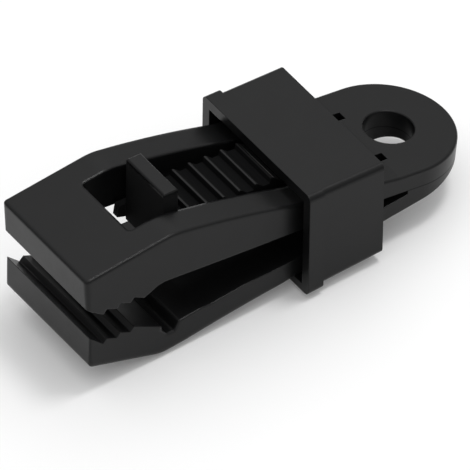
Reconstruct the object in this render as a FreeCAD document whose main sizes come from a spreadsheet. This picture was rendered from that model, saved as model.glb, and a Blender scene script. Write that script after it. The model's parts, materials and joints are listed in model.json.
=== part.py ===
import FreeCAD
import Part
import Sketcher
import math
import os

# Tarp clip with a sliding lock collar: two moulded jaws that are joined at an eyelet, a ratchet tongue
# with a release tab, and a flanged collar that squeezes the jaws together as it slides forward.
# X runs from the eyelet to the jaw tips, Z is up, and the origin is on the axis of the eyelet's bore.

SIZES = {
    # Widths across the clip
    "jaw_width": 34.0,
    "channel_width": 19.4,
    "tongue_width": 14.3,
    "tab_width": 15.0,
    "lug_span": 18.6,
    # Eyelet
    "bore_radius": 5.95,
    "bore_set_back": 1.4,
    "bore_chamfer": 0.25,
    "bore_wall": 2.2,
    "eyelet_tilt_deg": 5.5,
    "eyelet_top": 4.1,
    "parting_drop": 0.4,
    "peg_radius": 1.5,
    "peg_height": 1.6,
    "peg_spacing": 23.0,
    "peg_forward": 1.0,
    "peg_clearance": 0.1,
    # Flexing roots of the two arms and of the tongue
    "root_distance": 15.9,
    "root_gap": 0.3,
    "slot_start": 6.6,
    "split_start": 5.9,
    "split_height": -0.9,
    # Upper jaw: distances from the bore's axis, heights from the bore's middle
    "rise_start": 8.0,
    "rail_distance": 36.9,
    "rail_height": 10.5,
    "rail_crown_radius": 240.0,
    "knee_distance": 70.3,
    "knee_height": 17.9,
    "knee_round": 14.0,
    "tip_distance": 94.0,
    "tip_top": 14.5,
    "tip_mouth": 6.0,
    "mouth_step": 72.6,
    "mouth_height": 4.9,
    "rail_underside": 2.5,
    "underside_start": 11.5,
    "window_front": 77.5,
    "window_corner": 1.0,
    "channel_chamfer": 2.0,
    # Gripping teeth, the same on both jaws
    "tooth_pitch": 3.7,
    "tooth_depth": 1.15,
    "tooth_back": 1.0,
    "first_tooth": 89.2,
    "upper_tooth_line": 3.0,
    "lower_tooth_line": -5.8,
    # Lower jaw
    "lower_tip_mouth": -2.6,
    "lower_tip_bottom": -11.3,
    "lower_knee_distance": 73.2,
    "lower_knee_height": -16.6,
    "lower_knee_round": 9.0,
    "waist_start": 40.0,
    "waist_height": -11.5,
    "waist_end": 66.5,
    "waist_end_height": -15.7,
    "waist_radius": 400.0,
    "lower_root_height": -6.75,
    "lower_bore_height": -4.35,
    "tail_start": -8.0,
    "tail_height": -3.1,
    "tail_round": 6.0,
    "notch_front": 73.3,
    "notch_lip": -8.3,
    "notch_floor": -11.3,
    "notch_rear": 68.5,
    "notch_rear_height": -8.9,
    "step_height": -8.0,
    "step_front": 63.0,
    "step_rear": 59.5,
    "ledge_front": 50.5,
    "ledge_rear": 43.5,
    "ledge_height": -6.3,
    "lower_inner_height": -5.7,
    # Ratchet tongue
    "rib_first": 37.0,
    "rib_pitch": 4.4,
    "rib_count": 6,
    "rib_depth": 1.5,
    "rib_land": 0.5,
    "rib_slope": 2.2,
    "rib_back": 0.4,
    "rib_line_rear": 11.7,
    "rib_line_front": 12.4,
    "tongue_thickness": 3.0,
    "tab_front": 66.7,
    "tab_thickness": 3.9,
    "tab_top": 21.0,
    "tab_foot": 3.0,
    "lug_floor": 0.9,
    "lug_point": 69.0,
    # Lock collar
    "collar_rear": 15.4,
    "collar_front": 36.2,
    "collar_width": 41.9,
    "collar_top": 15.2,
    "collar_bottom_rear": -11.4,
    "collar_bottom_front": -13.2,
    "collar_side_wall": 2.0,
    "collar_top_wall": 2.25,
    "collar_bottom_wall": 1.5,
    "collar_rear_wall": 1.0,
    "collar_round": 1.6,
    "flange_length": 4.1,
    "flange_proud": 0.7,
    "flange_top_proud": 0.45,
    # Edges
    "edge_round": 0.5,
    "corner_round": 1.0,
    "tip_round": 1.2,
    "rim_round": 0.6,
}

# Greatest angle between a face's normal and the direction it is said to look in
FACING_DEG = 21.5

os.makedirs("parts", exist_ok=True)
doc = FreeCAD.newDocument("tarp_clip")
sheet = doc.addObject("Spreadsheet::Sheet", "Sizes")
for row, (name, value) in enumerate(SIZES.items(), start=1):
    sheet.set(f"A{row}", name)
    sheet.set(f"B{row}", str(value))
    sheet.setAlias(f"B{row}", name)
doc.recompute()


class Length:
    """A length with its value and the sheet expression that gives it"""

    def __init__(self, value, text):
        self.value = value
        self.text = text

    def joined(self, other, sign, value):
        return Length(value, f"({self.text} {sign} {other.text})")

    def __add__(self, other):
        other = length(other)
        return self.joined(other, "+", self.value + other.value)

    def __sub__(self, other):
        other = length(other)
        return self.joined(other, "-", self.value - other.value)

    def __mul__(self, other):
        other = length(other)
        return self.joined(other, "*", self.value * other.value)

    def __truediv__(self, other):
        other = length(other)
        return self.joined(other, "/", self.value / other.value)

    def __neg__(self):
        return length(0) - self

    __radd__ = __add__
    __rmul__ = __mul__

    def __rsub__(self, other):
        return length(other) - self


def length(item):
    """A plain number as a Length, or a Length as it is"""
    return item if isinstance(item, Length) else Length(float(item), str(item))


def size(name):
    """The Length that a cell of the sheet holds"""
    return Length(float(sheet.get(name)), f"Sizes.{name}")


def between(distance, start, end):
    """Height at a distance on the straight line through two corners"""
    return start[1] + (end[1] - start[1]) * (distance - start[0]) / (end[0] - start[0])


def new_body(label):
    body = doc.addObject("PartDesign::Body", label)
    body.Label = label
    return body


def new_sketch(body, name, role):
    """Empty sketch on one of the body's own origin planes"""
    sketch = body.newObject("Sketcher::SketchObject", name)
    support = [item for item in body.Origin.OriginFeatures if item.Role == role]
    sketch.AttachmentSupport = [(support[0], "")]
    sketch.MapMode = "FlatFace"
    return sketch


def eyelet_sketch(body, name, lift):
    """Empty sketch square to the bore's axis, at a distance along it from the origin"""
    sketch = new_sketch(body, name, "XY_Plane")
    sketch.AttachmentOffset = FreeCAD.Placement(FreeCAD.Vector(), FreeCAD.Rotation(FreeCAD.Vector(0, -1, 0), 1))
    sketch.setExpression("AttachmentOffset.Rotation.Angle", "Sizes.eyelet_tilt_deg")
    sketch.setExpression("AttachmentOffset.Base.x", (-lift * tilt_sine).text)
    sketch.setExpression("AttachmentOffset.Base.z", (lift * tilt_cosine).text)
    return sketch


def bind(sketch, kind, *rest):
    """Adds a constraint whose last argument is a Length and ties it to the sheet"""
    target = rest[-1]
    index = sketch.addConstraint(Sketcher.Constraint(kind, *rest[:-1], target.value))
    sketch.setExpression(f"Constraints[{index}]", target.text)


def place_point(sketch, curve, end, corner):
    """Fixes one end of a curve at a corner measured from the sketch's origin"""
    for kind, target in zip(("DistanceX", "DistanceY"), corner):
        bind(sketch, kind, -1, 1, curve, end, length(target))


def arc_between(start, end, radius, left):
    """Arc between two points, bulging to the left or right of the way from start to end"""
    chord = end - start
    side = 1 if left else -1
    normal = FreeCAD.Vector(-chord.y, chord.x, 0).normalize() * side
    depth = math.sqrt(radius**2 - (chord.Length / 2) ** 2)
    centre = (start + end) * 0.5 - normal * depth
    first, last = (end, start) if left else (start, end)
    angles = [math.atan2(p.y - centre.y, p.x - centre.x) for p in (first, last)]
    if angles[1] < angles[0]:
        angles[1] += 2 * math.pi
    circle = Part.Circle(centre, FreeCAD.Vector(0, 0, 1), radius)
    return Part.ArcOfCircle(circle, *angles)


def draw_outline(sketch, corners, arcs=None):
    """Closed outline through the corners; arcs gives a radius and a side for the runs that are round"""
    arcs = arcs or {}
    points = [FreeCAD.Vector(length(x).value, length(y).value, 0) for x, y in corners]
    ends = []
    for index, start in enumerate(points):
        end = points[(index + 1) % len(points)]
        if index in arcs:
            radius, left = arcs[index]
            curve = sketch.addGeometry(arc_between(start, end, radius.value, left))
            ends.append((curve, 2, 1) if left else (curve, 1, 2))
            bind(sketch, "Radius", curve, radius)
        else:
            ends.append((sketch.addGeometry(Part.LineSegment(start, end)), 1, 2))
    for index, corner in enumerate(corners):
        curve, first, _ = ends[index]
        before, _, last = ends[index - 1]
        sketch.addConstraint(Sketcher.Constraint("Coincident", before, last, curve, first))
        place_point(sketch, curve, first, corner)


def draw_circle(sketch, centre, radius):
    """Circle with its centre and radius tied to the sheet"""
    middle = FreeCAD.Vector(length(centre[0]).value, length(centre[1]).value, 0)
    curve = sketch.addGeometry(Part.Circle(middle, FreeCAD.Vector(0, 0, 1), radius.value))
    place_point(sketch, curve, 3, centre)
    bind(sketch, "Radius", curve, radius)


def rectangle(left, right, low, high):
    return [(left, low), (right, low), (right, high), (left, high)]


def pad(body, sketch, name, depth, downward=False):
    """Pad of a given depth, shared by both sides of the sketch unless it goes downward only"""
    feature = body.newObject("PartDesign::Pad", name)
    feature.Profile = sketch
    feature.Midplane = not downward
    feature.Reversed = downward
    feature.setExpression("Length", depth.text)
    doc.recompute()
    return feature


def pocket(body, sketch, name, depth=None):
    """Cut through everything, or as wide as depth, shared equally by both sides of the sketch"""
    before = body.Shape.Volume
    feature = body.newObject("PartDesign::Pocket", name)
    feature.Profile = sketch
    feature.Midplane = True
    if depth is None:
        feature.Type = "ThroughAll"
    else:
        feature.setExpression("Length", depth.text)
    doc.recompute()
    if body.Shape.Volume > before - 0.01:
        raise ValueError(f"{name} cuts nothing")
    return feature


def edges_where(feature, test, along=None):
    """Names of the feature's edges whose end points pass the test and, if asked, that run along one axis"""
    names = []
    for number, edge in enumerate(feature.Shape.Edges, start=1):
        ends = [vertex.Point for vertex in edge.Vertexes]
        if all(test(p) for p in ends):
            run = ends[-1] - ends[0]
            if along is None or abs(getattr(run, along)) > run.Length / 2:
                names.append(f"Edge{number}")
    return names


def flank_edges(feature, direction):
    """Edges where the flanks meet the faces that look in one direction"""
    shape = feature.Shape
    names = []
    for number, edge in enumerate(shape.Edges, start=1):
        if not near(abs(edge.CenterOfMass.y), half_width):
            continue
        for face in shape.ancestorsOfType(edge, Part.Face):
            first, last, low, high = face.ParameterRange
            normal = face.normalAt((first + last) / 2, (low + high) / 2)
            if normal.dot(direction) > math.cos(math.radians(FACING_DEG)):
                names.append(f"Edge{number}")
    return names


def dress(body, kind, name, base, edges, amount):
    """Fillet or chamfer on the named edges of a feature"""
    if not edges:
        raise ValueError(f"{name} finds no edge")
    feature = body.newObject(f"PartDesign::{kind}", name)
    feature.Base = (base, edges)
    feature.setExpression("Radius" if kind == "Fillet" else "Size", amount.text)
    doc.recompute()
    if feature.Shape.isNull():
        raise ValueError(f"{name} fails on {edges}")
    return feature


def near(value, target, slack=0.01):
    return abs(value - length(target).value) < slack


def along_y_at(corner):
    """Test for edges that run across the clip through a corner of a side view"""
    return lambda p: near(p.x, corner[0]) and near(p.z, corner[1])


# Shared lines of the side view
half_width = size("jaw_width") / 2
root = size("root_distance")
root_rear = root - size("root_gap") / 2
root_front = root + size("root_gap") / 2
tilt = math.radians(size("eyelet_tilt_deg").value)
tilt_sine = Length(math.sin(tilt), "sin(Sizes.eyelet_tilt_deg * 1 deg)")
tilt_cosine = Length(math.cos(tilt), "cos(Sizes.eyelet_tilt_deg * 1 deg)")
parting = -size("parting_drop")
eyelet_rear = size("bore_set_back") - half_width


def eyelet_plane(distance, lift):
    """Height at a distance on the plane square to the bore's axis, lifted along that axis"""
    return (lift + distance * tilt_sine) / tilt_cosine


rise = (size("rise_start"), eyelet_plane(size("rise_start"), size("eyelet_top")))
rail = (size("rail_distance"), size("rail_height"))
knee = (size("knee_distance"), size("knee_height"))
under = (size("underside_start"), eyelet_plane(size("underside_start"), parting))
rail_under = (size("rail_distance"), size("rail_underside"))
split = (size("split_start"), size("split_height"))
lower_inner = (size("rail_distance"), size("lower_inner_height"))
lower_bore = (length(0), size("lower_bore_height"))
lower_root = (root, size("lower_root_height"))
tail = (size("tail_start"), between(size("tail_start"), lower_bore, lower_root))
waist = (size("waist_start"), size("waist_height"))


def teeth(line, rises):
    """Corners of the gripping teeth from the front one to the rear one"""
    count = 3
    corners = []
    for number in range(count):
        tip = size("first_tooth") - size("tooth_pitch") * number
        corners.append((tip, line))
        corners.append((tip - size("tooth_back"), line + rises * size("tooth_depth")))
    return corners


# Eyelet halves: a round-ended plate in two layers, split from the arms by the side slot. The upper face
# and the parting plane are square to the bore, which leans back from the line of the arms.
plate_rear = eyelet_rear - 2 * size("edge_round")
tail_end = (plate_rear, size("tail_height"))


def eyelet_half(label, corners, bend=None, wall_depth=None):
    """One layer of the eyelet, with a rounded bend across it and the bore's wall across the side slot if given"""
    body = new_body(label)
    side = new_sketch(body, f"{label}_side", "XZ_Plane")
    draw_outline(side, corners)
    plate = pad(body, side, f"{label}_plate", size("jaw_width"))
    if bend is not None:
        dress(body, "Fillet", f"{label}_bend", plate, edges_where(plate, along_y_at(bend)), size("tail_round"))
    end = eyelet_sketch(body, f"{label}_end", length(0))
    centre = size("bore_set_back")
    outside = eyelet_rear - size("bore_radius")
    flank = half_width + size("edge_round")
    corners = [
        (centre, half_width),
        (centre, flank),
        (outside, flank),
        (outside, -flank),
        (centre, -flank),
        (centre, -half_width),
        (eyelet_rear, 0),
    ]
    draw_outline(end, corners, {5: (half_width, True), 6: (half_width, True)})
    pocket(body, end, f"{label}_round_end")
    if wall_depth is not None:
        wall = eyelet_sketch(body, f"{label}_bore_wall", parting)
        draw_circle(wall, (0, 0), size("bore_radius") + size("bore_wall"))
        pad(body, wall, f"{label}_bore_wall_pad", wall_depth, downward=True)
    bore = eyelet_sketch(body, f"{label}_bore", length(0))
    draw_circle(bore, (0, 0), size("bore_radius"))
    return body, pocket(body, bore, f"{label}_bore_cut")


def off_axis(p, centre):
    """Distance of a point from an upright of the eyelet that stands behind or ahead of the bore's axis"""
    return math.hypot(p.x * tilt_cosine.value + p.z * tilt_sine.value - centre, p.y)


def rim_edges(feature, skin):
    """Edges of the round end and its flanks on the face whose height skin gives"""

    def rim(p):
        end = near(off_axis(p, size("bore_set_back").value), half_width)
        return near(p.z, skin(p.x)) and (end or near(abs(p.y), half_width))

    front = edges_where(feature, lambda p: near(p.x, root_rear))
    return [name for name in edges_where(feature, rim) if name not in front]


def bore_edges(feature, skin):
    """Edge of the bore on the face whose height skin gives"""
    return edges_where(feature, lambda p: near(off_axis(p, 0), size("bore_radius")) and near(p.z, skin(p.x)))


def upper_skin(distance):
    flat = eyelet_plane(length(distance), size("eyelet_top")).value
    return max(flat, between(length(distance), rise, rail).value)


def lower_skin(distance):
    sloping = between(length(distance), lower_bore, lower_root).value
    return min(sloping, between(length(distance), tail, tail_end).value)


upper_corners = [
    (plate_rear, eyelet_plane(plate_rear, parting)),
    under,
    (root_rear, between(root_rear, under, rail_under)),
    (root_rear, between(root_rear, rise, rail)),
    rise,
    (plate_rear, eyelet_plane(plate_rear, size("eyelet_top"))),
]
eyelet_upper, cut = eyelet_half("eyelet_upper", upper_corners)
slots = new_sketch(eyelet_upper, "eyelet_slots", "XY_Plane")
for side in (1, -1):
    inner = side * size("tongue_width") / 2
    outer = side * size("channel_width") / 2
    draw_outline(slots, rectangle(size("slot_start"), root, inner, outer))
cut = pocket(eyelet_upper, slots, "eyelet_slot_cut")
peg_holes = eyelet_sketch(eyelet_upper, "peg_holes", parting)
for side in (1, -1):
    centre = (size("peg_forward"), side * size("peg_spacing") / 2)
    draw_circle(peg_holes, centre, size("peg_radius") + size("peg_clearance"))
cut = pocket(eyelet_upper, peg_holes, "peg_hole_cut", 2 * (size("peg_height") + size("peg_clearance")))
cut = dress(eyelet_upper, "Fillet", "rim_top_fillet", cut, rim_edges(cut, upper_skin), size("rim_round"))
dress(eyelet_upper, "Chamfer", "bore_top_edge", cut, bore_edges(cut, upper_skin), size("bore_chamfer"))

lower_corners = [
    tail_end,
    tail,
    (root_rear, between(root_rear, lower_bore, lower_root)),
    (root_rear, between(root_rear, split, lower_inner)),
    split,
    (split[0], eyelet_plane(split[0], parting)),
    (plate_rear, eyelet_plane(plate_rear, parting)),
]
split_depth = eyelet_plane(split[0], parting) - split[1]
eyelet_lower, cut = eyelet_half("eyelet_lower", lower_corners, tail, 2 * split_depth)
pegs = eyelet_sketch(eyelet_lower, "pegs", parting)
for side in (1, -1):
    draw_circle(pegs, (size("peg_forward"), side * size("peg_spacing") / 2), size("peg_radius"))
cut = pad(eyelet_lower, pegs, "peg_pad", 2 * size("peg_height"))
cut = dress(eyelet_lower, "Fillet", "rim_low_fillet", cut, rim_edges(cut, lower_skin), size("rim_round"))
dress(eyelet_lower, "Chamfer", "bore_low_edge", cut, bore_edges(cut, lower_skin), size("bore_chamfer"))


# Upper jaw: two rails and a toothed head round the channel and its window
upper_jaw = new_body("upper_jaw")
upper_teeth = teeth(size("upper_tooth_line"), 1)
last_tooth = size("first_tooth") - 3 * size("tooth_pitch")
upper_tip = (size("tip_distance"), size("tip_top"))
upper_mouth = (size("tip_distance") - size("edge_round"), size("tip_mouth"))
side = new_sketch(upper_jaw, "upper_jaw_side", "XZ_Plane")
corners = [
    (root_front, between(root_front, rise, rail)),
    rail,
    knee,
    upper_tip,
    upper_mouth,
    *upper_teeth,
    (last_tooth, size("upper_tooth_line") - size("tooth_depth") / 4),
    (last_tooth - size("tooth_pitch"), size("mouth_height") - size("tooth_depth") / 3),
    (size("mouth_step"), size("mouth_height")),
    rail_under,
    (root_front, between(root_front, under, rail_under)),
]
draw_outline(side, corners, {1: (size("rail_crown_radius"), True)})
cut = pad(upper_jaw, side, "upper_jaw_pad", size("jaw_width"))
channel = new_sketch(upper_jaw, "channel", "XY_Plane")
half_channel = size("channel_width") / 2
draw_outline(channel, rectangle(root, size("window_front"), -half_channel, half_channel))
cut = pocket(upper_jaw, channel, "channel_cut")


def channel_foot(p):
    """End points of the channel's lower long edges"""
    return p.z < knee[1].value / 2 and near(abs(p.y), half_channel)


foot_edges = edges_where(cut, channel_foot, "x")
cut = dress(upper_jaw, "Chamfer", "channel_foot_chamfer", cut, foot_edges, size("channel_chamfer"))


def window_corner(p):
    return near(p.x, size("window_front")) and near(abs(p.y), half_channel)


corner_edges = edges_where(cut, window_corner, "z")
cut = dress(upper_jaw, "Fillet", "window_corner_fillet", cut, corner_edges, size("window_corner"))
knee_edges = edges_where(cut, along_y_at(knee))
cut = dress(upper_jaw, "Fillet", "upper_knee_fillet", cut, knee_edges, size("knee_round"))
forward = FreeCAD.Vector(1, 0, 0)
upward = FreeCAD.Vector(0, 0, 1)
cut = dress(upper_jaw, "Fillet", "upper_corner_fillet", cut, flank_edges(cut, forward), size("corner_round"))
top_rim = flank_edges(cut, upward)
dress(upper_jaw, "Fillet", "upper_rim_fillet", cut, top_rim, size("edge_round"))


# Lower jaw: a plain arm with a toothed head and a notch behind the teeth
lower_jaw = new_body("lower_jaw")
side = new_sketch(lower_jaw, "lower_jaw_side", "XZ_Plane")
lower_tip = (size("tip_distance") - size("tip_round"), size("lower_tip_mouth"))
lower_toe = (size("tip_distance") - size("tip_round"), size("lower_tip_bottom"))
lower_knee = (size("lower_knee_distance"), size("lower_knee_height"))
notch_width = size("notch_front") - size("notch_rear")
corners = [
    (root_front, between(root_front, split, lower_inner)),
    lower_inner,
    (size("ledge_rear"), size("ledge_height")),
    (size("ledge_front"), size("ledge_height") - size("edge_round") / 2),
    (size("step_rear"), size("step_height")),
    (size("step_front"), size("step_height")),
    (size("notch_rear"), size("notch_rear_height")),
    (size("notch_rear") + notch_width / 4, size("notch_floor")),
    (size("notch_front") - notch_width / 3, size("notch_floor")),
    (size("notch_front"), size("notch_lip") - size("tooth_depth")),
    (size("notch_front"), size("notch_lip")),
    *reversed(teeth(size("lower_tooth_line"), 1)),
    lower_tip,
    lower_toe,
    lower_knee,
    (size("waist_end"), size("waist_end_height")),
    waist,
    (root_front, between(root_front, lower_root, waist)),
]
waist_run = len(corners) - 3
draw_outline(side, corners, {waist_run: (size("waist_radius"), False)})
cut = pad(lower_jaw, side, "lower_jaw_pad", size("jaw_width"))
knee_edges = edges_where(cut, along_y_at(lower_knee))
cut = dress(lower_jaw, "Fillet", "lower_knee_fillet", cut, knee_edges, size("lower_knee_round"))
toe_edges = edges_where(cut, along_y_at(lower_toe))
cut = dress(lower_jaw, "Fillet", "lower_toe_fillet", cut, toe_edges, size("tip_round"))
rim = flank_edges(cut, -upward) + flank_edges(cut, forward)
dress(lower_jaw, "Fillet", "lower_rim_fillet", cut, rim, size("edge_round"))


# Ratchet tongue: a springy strip with ribs across it, a release tab and two guide lugs at its front end
tongue = new_body("release_tongue")
rib_span = size("rib_pitch") * (size("rib_count") - 1)
rib_rear = (size("rib_first"), size("rib_line_rear"))
rib_front = (size("rib_first") + rib_span, size("rib_line_front"))
tab_rear = size("tab_front") - size("tab_thickness")


def tongue_top(distance):
    """Height of the strip's face between the ribs"""
    return between(distance, rib_rear, rib_front) - size("rib_depth")


strip_rear = (rail[0] - size("rib_pitch"), tongue_top(rail[0] - size("rib_pitch")))
side = new_sketch(tongue, "tongue_side", "XZ_Plane")
corners = [
    (root_front, between(root_front, rise, rail)),
    strip_rear,
    (tab_rear, tongue_top(tab_rear)),
    (tab_rear, size("tab_top")),
    (size("tab_front"), size("tab_top")),
    (size("tab_front"), size("tab_foot")),
    (tab_rear, size("tab_foot")),
    (tab_rear, tongue_top(tab_rear) - size("tongue_thickness")),
    (strip_rear[0], strip_rear[1] - size("tongue_thickness")),
    (root_front, between(root_front, under, rail_under)),
]
draw_outline(side, corners)
cut = pad(tongue, side, "tongue_pad", size("tongue_width"))
rib = new_sketch(tongue, "rib_side", "XZ_Plane")
foot = size("rib_depth") / 4
corners = [
    (rib_rear[0] - size("rib_land") - size("rib_slope"), tongue_top(rib_rear[0]) - foot),
    (rib_rear[0] + size("rib_back"), tongue_top(rib_rear[0]) - foot),
    (rib_rear[0], rib_rear[1]),
    (rib_rear[0] - size("rib_land"), rib_rear[1]),
]
draw_outline(rib, corners)
ends = [FreeCAD.Vector(x.value, z.value, 0) for x, z in (rib_rear, rib_front)]
tip_line = rib.addGeometry(Part.LineSegment(*ends), True)
place_point(rib, tip_line, 1, rib_rear)
place_point(rib, tip_line, 2, rib_front)
rib_pad = pad(tongue, rib, "rib_pad", size("tongue_width"))
pattern = tongue.newObject("PartDesign::LinearPattern", "rib_pattern")
pattern.Originals = [rib_pad]
pattern.Direction = (rib, ["Axis0"])
pattern.setExpression("Length", rib_span.text)
pattern.setExpression("Occurrences", "Sizes.rib_count")
tongue.Tip = pattern
doc.recompute()
tab = new_sketch(tongue, "tab_side", "XZ_Plane")
draw_outline(tab, rectangle(tab_rear, size("tab_front"), size("tab_foot"), size("tab_top")))
pad(tongue, tab, "tab_pad", size("tab_width"))
lug = new_sketch(tongue, "lug_side", "XZ_Plane")
lug_height = size("tab_foot") + 2 * size("rib_depth")
corners = [
    (tab_rear, size("lug_floor")),
    (tab_rear + size("tab_thickness") / 2, size("lug_floor")),
    (size("tab_front"), size("tab_foot") + size("rib_depth") / 2),
    (size("lug_point"), size("tab_foot") + size("rib_depth")),
    (size("lug_point") - size("rib_land"), lug_height + size("rib_depth")),
    (tab_rear, lug_height + size("rib_depth")),
]
draw_outline(lug, corners)
lug_pad = pad(tongue, lug, "lug_pad", size("lug_span"))
gap = new_sketch(tongue, "lug_gap", "XZ_Plane")
below = size("lug_floor") - size("rib_depth")
above = lug_height + 2 * size("rib_depth")
ahead = size("lug_point") + size("rib_depth")
corners = [
    (tab_rear - size("rib_depth"), below),
    (ahead, below),
    (ahead, above),
    (size("tab_front"), above),
    (size("tab_front"), size("tab_foot")),
    (tab_rear - size("rib_depth"), size("tab_foot")),
]
draw_outline(gap, corners)
cut = pocket(tongue, gap, "lug_gap_cut", size("tab_width"))
tab_edges = edges_where(cut, lambda p: near(p.z, size("tab_top")))
dress(tongue, "Fillet", "tab_top_fillet", cut, tab_edges, size("edge_round"))


# Lock collar: a sleeve with a proud flange round its front end
collar = new_body("lock_collar")


def collar_outline(name, rear, front, grow, top_grow, bottom):
    """Side view of the sleeve between two distances, grown by an amount"""
    sketch = new_sketch(collar, name, "XZ_Plane")
    top = size("collar_top") + top_grow
    corners = [(rear, bottom(rear) - grow), (front, bottom(front) - grow), (front, top), (rear, top)]
    draw_outline(sketch, corners)
    return sketch


def collar_bottom(distance):
    start = (size("collar_rear"), size("collar_bottom_rear"))
    end = (size("collar_front"), size("collar_bottom_front"))
    return between(distance, start, end)


zero = length(0)
sleeve = collar_outline("sleeve_side", size("collar_rear"), size("collar_front"), zero, zero, collar_bottom)
cut = pad(collar, sleeve, "sleeve_pad", size("collar_width"))
half_collar = size("collar_width") / 2


def sleeve_corner(p):
    high = near(p.z, size("collar_top"))
    low = near(p.z, collar_bottom(length(p.x)))
    return near(abs(p.y), half_collar) and (high or low)


cut = dress(collar, "Fillet", "sleeve_fillet", cut, edges_where(cut, sleeve_corner, "x"), size("collar_round"))
flange_rear = size("collar_front") - size("flange_length")
flange = collar_outline(
    "flange_side", flange_rear, size("collar_front"), size("flange_proud"), size("flange_top_proud"), collar_bottom
)
cut = pad(collar, flange, "flange_pad", size("collar_width") + 2 * size("flange_proud"))


def flange_corner(p):
    return near(abs(p.y), half_collar + size("flange_proud"))


cut = dress(collar, "Fillet", "flange_fillet", cut, edges_where(cut, flange_corner, "x"), size("collar_round"))
hollow = new_sketch(collar, "hollow_side", "XZ_Plane")
ceiling = size("collar_top") - size("collar_top_wall")
corners = [
    (size("collar_rear"), size("collar_bottom_rear") + size("collar_rear_wall")),
    (size("collar_front"), size("collar_bottom_front") + size("collar_bottom_wall")),
    (size("collar_front"), ceiling),
    (size("collar_rear"), ceiling),
]
draw_outline(hollow, corners)
hollow_width = size("collar_width") - 2 * size("collar_side_wall")
pocket(collar, hollow, "hollow_cut", hollow_width)

doc.recompute()
for item in doc.Objects:
    if "Invalid" in item.State or "Error" in item.State:
        raise ValueError(f"{item.Label} failed: {item.State}")
nodes = [eyelet_upper, eyelet_lower, upper_jaw, lower_jaw, tongue, collar]
for node in nodes:
    if node.Shape.isNull() or not node.Shape.isValid() or len(node.Shape.Solids) != 1:
        raise ValueError(f"{node.Label} is not one sound solid")
for node in nodes:
    node.Shape.exportStep(f"parts/{node.Label}.step")
    box = node.Shape.BoundBox
    print(node.Label, round(node.Shape.Volume), [round(v, 2) for v in (box.XMin, box.XMax, box.ZMin, box.ZMax)])
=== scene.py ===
import json
import math

import bpy
from mathutils import Matrix, Vector


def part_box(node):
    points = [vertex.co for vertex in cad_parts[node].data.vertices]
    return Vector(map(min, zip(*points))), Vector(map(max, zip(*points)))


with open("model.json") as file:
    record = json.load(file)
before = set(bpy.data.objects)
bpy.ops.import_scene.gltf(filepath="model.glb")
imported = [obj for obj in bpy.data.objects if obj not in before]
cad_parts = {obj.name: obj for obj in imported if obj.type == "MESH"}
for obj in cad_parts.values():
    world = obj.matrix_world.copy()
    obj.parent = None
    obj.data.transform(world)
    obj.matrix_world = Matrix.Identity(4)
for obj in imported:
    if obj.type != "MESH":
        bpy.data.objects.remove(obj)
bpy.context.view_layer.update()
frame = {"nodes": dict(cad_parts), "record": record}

# Eyelet: the round rear ends of the upper and the lower moulding, laid together on two pegs. Black nylon,
# shot in polished tools whose faces carry a fine spark-eroded grain. The parting seam is square to the
# bore and shows as a fine dark line.
nylon_black = (0.0034, 0.0035, 0.0037, 1)
nylon_streak = (0.0054, 0.0055, 0.0057, 1)
# Lighter colour of the edges: partly wear, partly a painted highlight along them.
nylon_worn_and_highlit = (0.012, 0.012, 0.0125, 1)
nylon_ior = 1.53
nylon_specular = 0.185
satin_roughness = 0.33
tool_radius = 0.0003
grain_per_metre = 5200
flecks_per_metre = 900
smudges_per_metre = 160
streaks_per_metre = 55
grain_height = 0.00004
ripple_height = 0.00025
smudge_dulling = 0.16
fleck_dulling = 0.05
edge_contrast = 7
# How far the edges go towards the lighter colour: partly wear, partly a painted highlight.
edge_wear_and_highlight = 0.5
edge_polish = 0.18
upper_shot = (0.0, 0.0, 0.0)
lower_shot = (0.31, 0.07, 0.13)
seam_drop = 0.0004
seam_half_width = 0.00009
seam_fade = 0.00005
seam_darkness = 0.6
crisp_at_seam = 0.0005
seam_edge_fade = 0.001


class Signal:
    """A socket of a material's nodes, or its tree alone; arithmetic on it adds Math nodes"""

    def __init__(self, tree, socket=None):
        self.tree = tree
        self.socket = socket

    def node(self, kind, settings=None, sockets=None, out=0):
        """A node of a type, its settings set first, then the values or links of its sockets"""
        made = self.tree.nodes.new(kind)
        for name, value in (settings or {}).items():
            setattr(made, name, value)
        for name, value in (sockets or {}).items():
            if isinstance(value, Signal):
                self.tree.links.new(value.socket, made.inputs[name])
            else:
                made.inputs[name].default_value = value
        return Signal(self.tree, made.outputs[out])

    def maths(self, operation, *others):
        return self.node("ShaderNodeMath", {"operation": operation}, dict(enumerate((self, *others))))

    def __add__(self, other):
        return self.maths("ADD", other)

    def __sub__(self, other):
        return self.maths("SUBTRACT", other)

    def __mul__(self, other):
        return self.maths("MULTIPLY", other)

    def __rsub__(self, other):
        return self.node("ShaderNodeMath", {"operation": "SUBTRACT"}, {0: other, 1: self})

    __radd__ = __add__
    __rmul__ = __mul__

    def clamped(self):
        """The value, held between 0 and 1"""
        return self.node("ShaderNodeClamp", None, {"Value": self})

    def rising(self, start, width):
        """0 up to start, then up to 1 over a width"""
        return ((self - start) * (1 / width)).clamped()

    def axis(self, name):
        """One coordinate of a vector"""
        return self.node("ShaderNodeSeparateXYZ", None, {"Vector": self}, name)

    def dot(self, other):
        """Length of this vector along another"""
        return self.node("ShaderNodeVectorMath", {"operation": "DOT_PRODUCT"}, {0: self, 1: other}, "Value")

    def between(self, first, second):
        """The first colour where this is 0, the second where it is 1"""
        return self.node("ShaderNodeMix", {"data_type": "RGBA"}, {0: self, 6: first, 7: second}, 2)


def nylon_on(node):
    """A new material on a CAD node's slots; gives the node's own coordinates"""
    finish = bpy.data.materials.new(f"{node}_nylon")
    finish.use_nodes = True
    for slot in frame["nodes"][node].material_slots:
        slot.material = finish
    return Signal(finish.node_tree).node("ShaderNodeTexCoord", out="Object")


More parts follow.
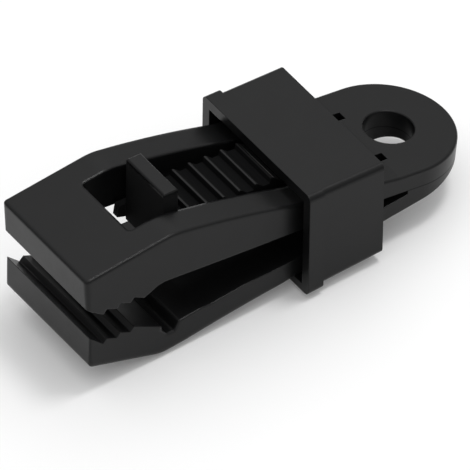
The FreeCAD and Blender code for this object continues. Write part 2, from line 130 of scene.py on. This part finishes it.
def black_nylon(place, shot, edge_width, coarse=0.0, matt_share=None):
    """Satin black nylon. Grain and flow marks are in the bump, smudges in the roughness, and the edges,
    rounded over edge_width, are polished and take a lighter colour, partly wear and partly a painted
    highlight. shot moves the marks, coarse roughens the grain and matt_share takes away that share of the
    shine"""
    tree = place.tree
    skin = tree.nodes["Principled BSDF"]
    moved = place.node("ShaderNodeMapping", None, {"Vector": place, "Location": shot})

    def mottle(per_metre, detail, rough=0.5):
        sockets = {"Vector": moved, "Scale": per_metre, "Detail": detail, "Roughness": rough}
        return moved.node("ShaderNodeTexNoise", None, sockets)

    grain = mottle(grain_per_metre, 2)
    fleck = mottle(flecks_per_metre, 2)
    smudge = mottle(smudges_per_metre, 4, 0.62)
    streak = mottle(streaks_per_metre, 3)

    rounded = place.node("ShaderNodeBevel", {"samples": 8}, {"Radius": edge_width})
    flat = place.node("ShaderNodeNewGeometry", out="Normal")
    edge = ((1 - rounded.dot(flat)) * edge_contrast).clamped()

    streaked = (smudge * 0.5 + streak * 0.5).between(nylon_black, nylon_streak)
    # The edges are lightened towards the lighter colour: partly wear, partly a painted highlight.
    colour = (edge * edge_wear_and_highlight).between(streaked, nylon_worn_and_highlit)
    tree.links.new(colour.socket, skin.inputs["Base Color"])
    dull = satin_roughness + (smudge - 0.5) * smudge_dulling + (fleck - 0.5) * fleck_dulling + coarse
    tree.links.new((dull - edge * edge_polish).socket, skin.inputs["Roughness"])

    pits = grain * 0.6 + fleck * 0.4
    sockets = {"Strength": 0.10, "Distance": grain_height, "Height": pits, "Normal": rounded}
    grained = place.node("ShaderNodeBump", None, sockets)
    sockets = {"Strength": 0.25, "Distance": ripple_height, "Height": streak, "Normal": grained}
    rippled = place.node("ShaderNodeBump", None, sockets)
    tree.links.new(rippled.socket, skin.inputs["Normal"])
    skin.inputs["IOR"].default_value = nylon_ior
    skin.inputs["Specular IOR Level"].default_value = nylon_specular

    if matt_share is not None:
        shiny = Signal(tree, skin.outputs["BSDF"])
        matt = place.node("ShaderNodeBsdfDiffuse", None, {"Color": nylon_black})
        dulled = place.node("ShaderNodeMixShader", None, {0: matt_share, 1: shiny, 2: matt})
        tree.links.new(dulled.socket, tree.nodes["Material Output"].inputs["Surface"])


bore = frame["record"]["mounts"][0]
for node, shot in (("eyelet_upper", upper_shot), ("eyelet_lower", lower_shot)):
    place = nylon_on(node)
    from_seam = (place.dot(bore["axis"]) + seam_drop).maths("ABSOLUTE")
    edge_width = from_seam.rising(crisp_at_seam, seam_edge_fade) * tool_radius
    seam = 1 - from_seam.rising(seam_half_width, seam_fade)
    black_nylon(place, shot, edge_width, matt_share=seam * seam_darkness)


# Jaws: the arms and toothed heads of both mouldings, which bend at their roots by the eyelet. Their outer
# corners are well rounded in the tool, and the teeth and the edges round the mouth stay crisp.
corner_radius = 0.0013
crisp_from_middle = 0.007
corner_fade = 0.00303

for node, shot in (("upper_jaw", upper_shot), ("lower_jaw", lower_shot)):
    place = nylon_on(node)
    outside = place.axis("Z").maths("ABSOLUTE").rising(crisp_from_middle, corner_fade)
    black_nylon(place, shot, outside * (corner_radius - tool_radius) + tool_radius)


# Ratchet tongue: a springy strip of the upper moulding between the rails, with saw-tooth ribs and an
# upright release tab. The collar rubs the ribs' tips smooth, and their valleys and the tab's front keep
# the coarse grain of the tool. The valleys between the ribs, away from the tab, also lose most of their shine
# to matt black: painted shade.
ribs_start = 0.034
ribs_start_fade = 0.001
tip_x, tip_z, tip_slope = 0.037, 0.0117, 0.0318
smooth_tip = 0.0001
coarse_fade = 0.00033
tab_rear = 0.062
tab_rear_fade = 0.0005
tab_above_tips = 0.0075
coarse_gain = 0.6
# Share of matt black in the rib valleys: painted shade.
painted_valley_shade = 0.62

place = nylon_on("release_tongue")
along = place.axis("X")
tips = (along - tip_x) * tip_slope + tip_z
on_tab = along.rising(tab_rear, tab_rear_fade)
depth = tips - smooth_tip + on_tab * tab_above_tips - place.axis("Z")
coarse = depth.rising(0.0, coarse_fade) * along.rising(ribs_start, ribs_start_fade)
# The rib valleys, but not the tab, are mixed towards matt black as painted shade.
black_nylon(place, upper_shot, tool_radius, coarse * coarse_gain, coarse * (1 - on_tab) * painted_valley_shade)


# Lock collar: a sleeve with a proud flange round its front end, in the same nylon from a tool of its own.
# It slides along the arms. Its long edges and its front rim are rounded, and the flange's step and the
# rear rim are crisp.
collar_shot = (0.57, 0.29, 0.05)
flange_length = 0.0041
crisp_rim = 0.0004
rim_fade = 0.0005

collar_low, collar_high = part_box("lock_collar")
place = nylon_on("lock_collar")
along = place.axis("X")
from_step = (along - (collar_high.x - flange_length)).maths("ABSOLUTE")
from_rims = from_step.maths("MINIMUM", along - collar_low.x)
black_nylon(place, collar_shot, from_rims.rising(crisp_rim, rim_fade) * tool_radius)


# Floor: a seamless sweep of white paper. The clip lies on the lower front edge of its collar and on the
# knee of the lower jaw, so the paper runs just under those two.
paper_white = (0.86, 0.86, 0.86, 1)
paper_glow = 0.08
paper_half = 3.0
paper_gap = 0.0013
knee_x = 0.0728

paper = bpy.data.materials.new("paper")
paper.use_nodes = True
tree = paper.node_tree
tree.nodes.remove(tree.nodes["Principled BSDF"])
start = Signal(tree)
to_camera = start.node("ShaderNodeLightPath", out="Is Camera Ray")
in_gloss = start.node("ShaderNodeLightPath", out="Is Glossy Ray")
glow = start.node("ShaderNodeEmission", None, {"Strength": to_camera.maths("MAXIMUM", in_gloss) * paper_glow})
matt = start.node("ShaderNodeBsdfDiffuse", None, {"Color": paper_white})
sheet = start.node("ShaderNodeAddShader", None, {0: glow, 1: matt})
tree.links.new(sheet.socket, tree.nodes["Material Output"].inputs["Surface"])

knee_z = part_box("lower_jaw")[0].z
fall = (collar_low.z - knee_z) / (knee_x - collar_high.x)
corners = []
for x, y in ((-1, -1), (1, -1), (1, 1), (-1, 1)):
    x, y = x * paper_half, y * paper_half
    corners.append((x, y, collar_low.z - paper_gap - fall * (x - collar_high.x)))
floor_mesh = bpy.data.meshes.new("floor")
floor_mesh.from_pydata(corners, [], [(0, 1, 2, 3)])
floor_mesh.materials.append(paper)
floor = bpy.data.objects.new("floor", floor_mesh)
bpy.context.scene.collection.objects.link(floor)


# Studio: a white tent that is brightest overhead and shows as plain white behind the clip, with two weak
# soft boxes, one nearly overhead and one beyond the eyelet.
tent_side = 0.16
tent_gain = 1.05
clip_middle = Vector((0.04, 0, 0))

room = bpy.data.worlds.new("room")
bpy.context.scene.world = room
room.use_nodes = True
tree = room.node_tree
start = Signal(tree)
to_camera = start.node("ShaderNodeLightPath", out="Is Camera Ray")
height = start.node("ShaderNodeTexCoord", out="Generated").axis("Z").clamped()
tent = height * tent_gain + tent_side
sky = tree.nodes["Background"]
sky.inputs["Color"].default_value = (1, 1, 1, 1)
tree.links.new((tent * (1 - to_camera) + to_camera).socket, sky.inputs["Strength"])


def soft_box(name, where, side, watts):
    """A square soft box that faces the middle of the clip"""
    lamp = bpy.data.lights.new(name, "AREA")
    lamp.size = side
    lamp.energy = watts
    holder = bpy.data.objects.new(name, lamp)
    holder.location = where
    holder.rotation_euler = (clip_middle - Vector(where)).to_track_quat("-Z", "Y").to_euler()
    bpy.context.scene.collection.objects.link(holder)


soft_box("overhead_box", (-0.14, 0.1, 0.9), 0.2, 2.3)
soft_box("back_box", (-0.33, -0.56, 0.76), 0.6, 0.45)


# Camera: a very long lens, above the tips and to one side of them, rolled by a degree as in the
# photograph, which shows no perspective.
turn = math.radians(55.15)
rise = math.radians(41.09)
roll = math.radians(0.996)
distance = 4.0
view_width = 0.10655
aim = Vector((0.0443, 0.00375, -0.00441))

back = Vector((math.cos(rise) * math.cos(turn), math.cos(rise) * math.sin(turn), math.sin(rise)))
level = Vector((-math.sin(turn), math.cos(turn), 0))
right = math.cos(roll) * level + math.sin(roll) * back.cross(level)
long_lens = bpy.data.cameras.new("camera")
long_lens.lens = long_lens.sensor_width / view_width * distance
long_lens.clip_start = 0.1
long_lens.clip_end = 40.0
camera = bpy.data.objects.new("camera", long_lens)
facing = Matrix((right, back.cross(right), back)).transposed().to_4x4()
camera.matrix_world = Matrix.Translation(aim + back * distance) @ facing
bpy.context.scene.collection.objects.link(camera)
bpy.context.scene.camera = camera

bpy.context.scene.view_settings.view_transform = "Standard"
